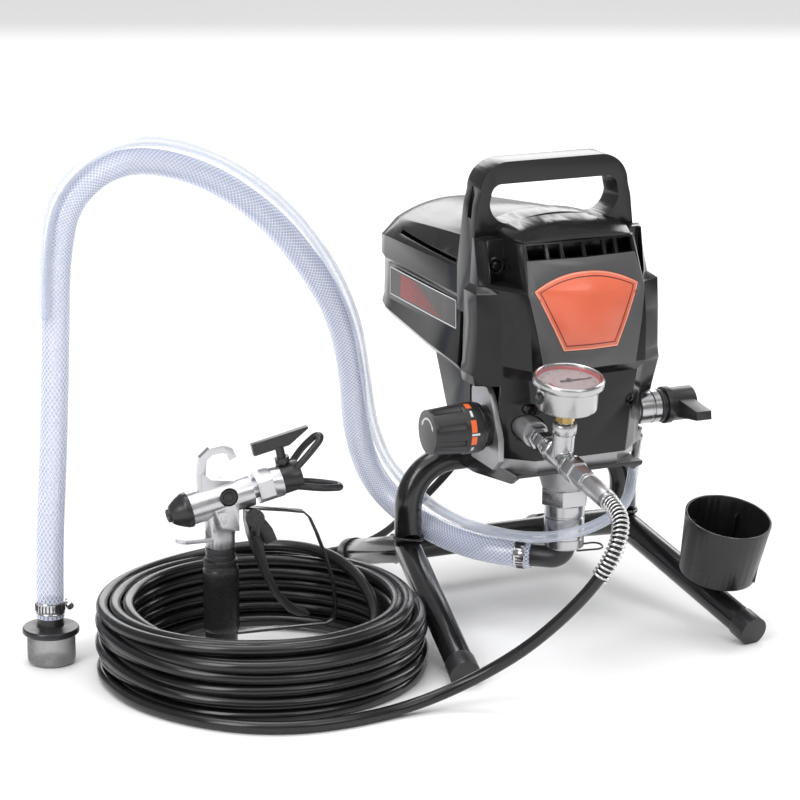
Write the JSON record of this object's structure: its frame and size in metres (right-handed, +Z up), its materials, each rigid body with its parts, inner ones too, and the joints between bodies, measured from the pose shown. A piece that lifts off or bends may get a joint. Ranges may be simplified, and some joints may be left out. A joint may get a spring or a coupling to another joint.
{
  "type": "airless paint sprayer",
  "caption": "Electric airless paint sprayer: piston pump and motor under a carry-handle housing on a tube stand, with gauge, hoses and a trigger spray gun.",
  "frame": {"origin": "on the floor, under the middle of the box of the machine and its gun, hoses and lead left out", "axes": "+X to the right seen from the front, +Y to the back, +Z up"},
  "size_m": [0.6565, 0.5312, 0.4693],
  "materials": {
    "powder_black": "satin powder coat",
    "charcoal_plastic": "moulded, satin",
    "panel_grey": "moulded, satin",
    "badge_orange": "printed label",
    "black_gloss": "moulded, glossy",
    "cast_aluminium": "cast, satin",
    "bright_steel": "plated",
    "satin_steel": "turned",
    "brass": "turned",
    "clear_hose": "clear PVC",
    "black_rubber": "hose cover",
    "dial_print": "printed",
    "gauge_glass": "clear",
    "circuit_board": "board",
    "motor_steel": "rolled",
    "wire_mesh": "woven wire"
  },
  "bodies": {
    "root": {"stand_arch": "powder_black", "stand_legs": "powder_black", "leg_end_caps": "black_gloss", "mounting_bracket": "powder_black", "tip_cup": "black_gloss", "gear_housing": "cast_aluminium", "motor_hood": "charcoal_plastic", "handle_frame": "charcoal_plastic", "front_cover": "charcoal_plastic", "front_trim": "panel_grey", "front_badge": "badge_orange", "machine_screws": "black_gloss", "drive_motor": "motor_steel", "control_board": "circuit_board", "power_switch": "black_gloss", "cord_gland": "black_rubber", "pump_cylinder": "satin_steel", "pump_nut": "satin_steel", "rod_packings": "black_rubber", "inlet_elbow": "black_gloss", "outlet_nipple": "bright_steel", "gauge_tee": "bright_steel", "gauge_case": "satin_steel", "gauge_dial": "dial_print", "gauge_lens": "gauge_glass", "regulator_base": "black_gloss", "prime_valve": "satin_steel", "return_barb": "bright_steel", "suction_hose": "clear_hose", "hose_clamps": "bright_steel", "strainer_cap": "black_gloss", "strainer_mesh": "wire_mesh", "return_tube": "clear_hose", "pressure_hose": "black_rubber", "pressure_hose_coil": "black_rubber", "hose_coupling": "bright_steel", "spring_guard": "bright_steel", "hose_end_fitting": "bright_steel", "power_cord": "black_rubber", "power_cord_coil": "black_rubber", "power_plug": "black_rubber"},
    "pressure_knob": {"pressure_knob": "black_gloss"},
    "prime_lever": {"prime_lever": "black_gloss"},
    "switch_rocker": {"switch_rocker": "black_gloss"},
    "gauge_needle": {"gauge_needle": "black_gloss"},
    "rotor": {"motor_rotor": "motor_steel", "cooling_fan": "black_gloss"},
    "crank": {"crank_gear": "motor_steel"},
    "piston": {"piston_rod": "bright_steel"},
    "inlet_ball": {"inlet_ball": "bright_steel"},
    "gun": {"gun_body": "cast_aluminium", "gun_nose_cap": "black_gloss", "gun_grip": "black_gloss", "trigger_guard": "black_gloss", "tip_nut": "bright_steel"},
    "gun_swivel": {"gun_swivel": "black_gloss"},
    "gun_trigger": {"gun_trigger": "black_gloss"},
    "trigger_lock": {"trigger_lock": "black_gloss"},
    "tip_guard": {"tip_guard": "black_gloss"},
    "spray_tip": {"spray_tip": "black_gloss"}
  },
  "joints": [
    {"name": "pressure_knob_turn", "type": "hinge", "parent": "root", "child": "pressure_knob", "pos_m": [-0.0101, -0.0604, 0.203], "axis": [-1, 0, 0], "range_deg": [0, 270]},
    {"name": "prime_lever_turn", "type": "hinge", "parent": "root", "child": "prime_lever", "pos_m": [0.2099, -0.0604, 0.203], "axis": [1, 0, 0], "range_deg": [0, 90]},
    {"name": "power_switch_rock", "type": "hinge", "parent": "root", "child": "switch_rocker", "pos_m": [0.0949, 0.1811, 0.301], "axis": [-1, 0, 0], "range_deg": [0, 12]},
    {"name": "gauge_needle_turn", "type": "hinge", "parent": "root", "child": "gauge_needle", "pos_m": [0.0459, -0.17095, 0.26864], "axis": [0, 0.1564, -0.9877], "range_deg": [-200, 70]},
    {"name": "crank_spin", "type": "hinge", "parent": "root", "child": "crank", "pos_m": [0.0949, -0.0384, 0.25], "axis": [0, 1, 0], "continuous": true},
    {"name": "motor_spin", "type": "hinge", "parent": "root", "child": "rotor", "pos_m": [0.0949, 0.0316, 0.3], "axis": [0, 1, 0], "continuous": true},
    {"name": "piston_stroke", "type": "slide", "parent": "root", "child": "piston", "axis": [0, 0, 1], "range_m": [-0.005, 0.005]},
    {"name": "inlet_ball_lift", "type": "slide", "parent": "root", "child": "inlet_ball", "axis": [0, 0, 1], "range_m": [0, 0.002]},
    {"name": "gun_lift_out", "type": "slide", "parent": "root", "child": "gun", "axis": [0, 0, 1], "range_m": [0, 0.15]},
    {"name": "gun_swivel_turn", "type": "hinge", "parent": "gun", "child": "gun_swivel", "pos_m": [-0.2231, -0.0274, 0.01], "axis": [0, 0, 1], "continuous": true},
    {"name": "trigger_pull", "type": "hinge", "parent": "gun", "child": "gun_trigger", "pos_m": [-0.21951, -0.02771, 0.1608], "axis": [0.0872, 0.9962, 0], "range_deg": [0, 6], "stiffness_Nm_per_rad": 0.6},
    {"name": "trigger_lock_turn", "type": "hinge", "parent": "gun_trigger", "child": "trigger_lock", "pos_m": [-0.19894, -0.04959, 0.14], "axis": [0.0872, 0.9962, 0], "range_deg": [0, 90]},
    {"name": "tip_guard_turn", "type": "hinge", "parent": "gun", "child": "tip_guard", "pos_m": [-0.16001, -0.03292, 0.16872], "axis": [0.9707, -0.0849, 0.225], "range_deg": [-90, 90]},
    {"name": "spray_tip_reverse", "type": "hinge", "parent": "tip_guard", "child": "spray_tip", "pos_m": [-0.16195, -0.03275, 0.16827], "axis": [-0.2241, 0.0196, 0.9744], "range_deg": [0, 180]}
  ],
  "couplings": [
    {"joint": "motor_spin", "follows": "crank_spin", "ratio": -4}
  ]
}
